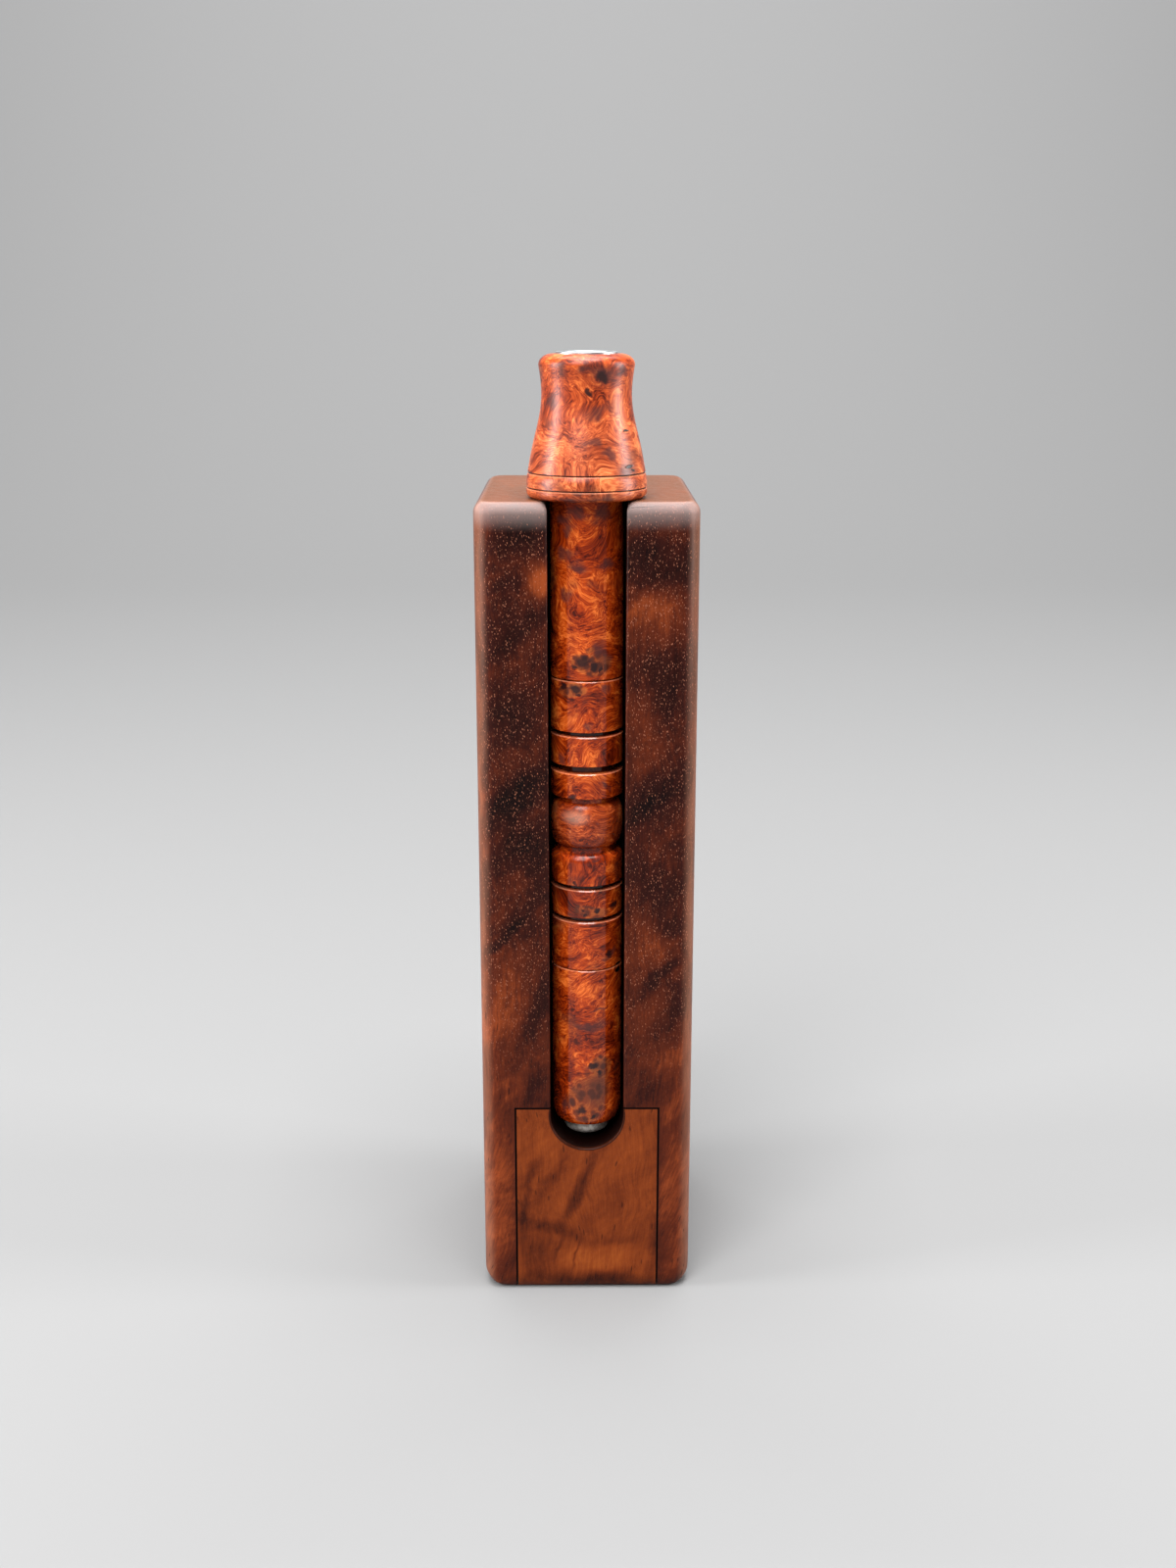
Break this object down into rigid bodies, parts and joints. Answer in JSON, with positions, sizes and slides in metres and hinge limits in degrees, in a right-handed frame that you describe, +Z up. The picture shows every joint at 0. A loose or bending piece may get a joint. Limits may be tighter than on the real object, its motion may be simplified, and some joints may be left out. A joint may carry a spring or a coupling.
{
  "type": "dip pen holder",
  "caption": "Upright rounded wooden pocket case with a front groove cradling a turned burl stem with flared hollow head; drawer drops out of the foot.",
  "frame": {"origin": "middle of the footprint on the surface it stands on, counting the overhanging head", "axes": "+Z up along the case, front with the groove faces -Y, +X to the right seen from the front"},
  "size_m": [0.032, 0.0444, 0.1429],
  "materials": {
    "walnut": "oiled satin, dark reddish brown with open pores",
    "walnut_drawer": "oiled satin, warmer brown with dark streaks",
    "burl": "polished orange-red burl with dark eyes",
    "nickel": "nickel plate",
    "polished_metal": "polished",
    "steel": "fine turned",
    "seal_rubber": "matt"
  },
  "bodies": {
    "case": {"case_body": "walnut", "cradle_magnet_upper": "nickel", "cradle_magnet_lower": "nickel", "bay_magnet": "nickel"},
    "drawer": {"drawer": "walnut_drawer", "drawer_magnet": "nickel"},
    "stem": {"middle_barrel": "burl", "lower_barrel": "burl", "core_tube": "steel", "seal_upper": "seal_rubber", "seal_lower": "seal_rubber", "end_ferrule": "steel"},
    "head": {"head_section": "burl", "mouth_liner": "polished_metal"}
  },
  "joints": [
    {"name": "drawer_slide", "type": "slide", "parent": "case", "child": "drawer", "axis": [0, 0, -1], "range_m": [0, 0.034]},
    {"name": "stem_out", "type": "slide", "parent": "case", "child": "stem", "axis": [0, -1, 0], "range_m": [0, 0.026]},
    {"name": "head_pull", "type": "slide", "parent": "stem", "child": "head", "axis": [0, 0, 1], "range_m": [0, 0.016]}
  ]
}
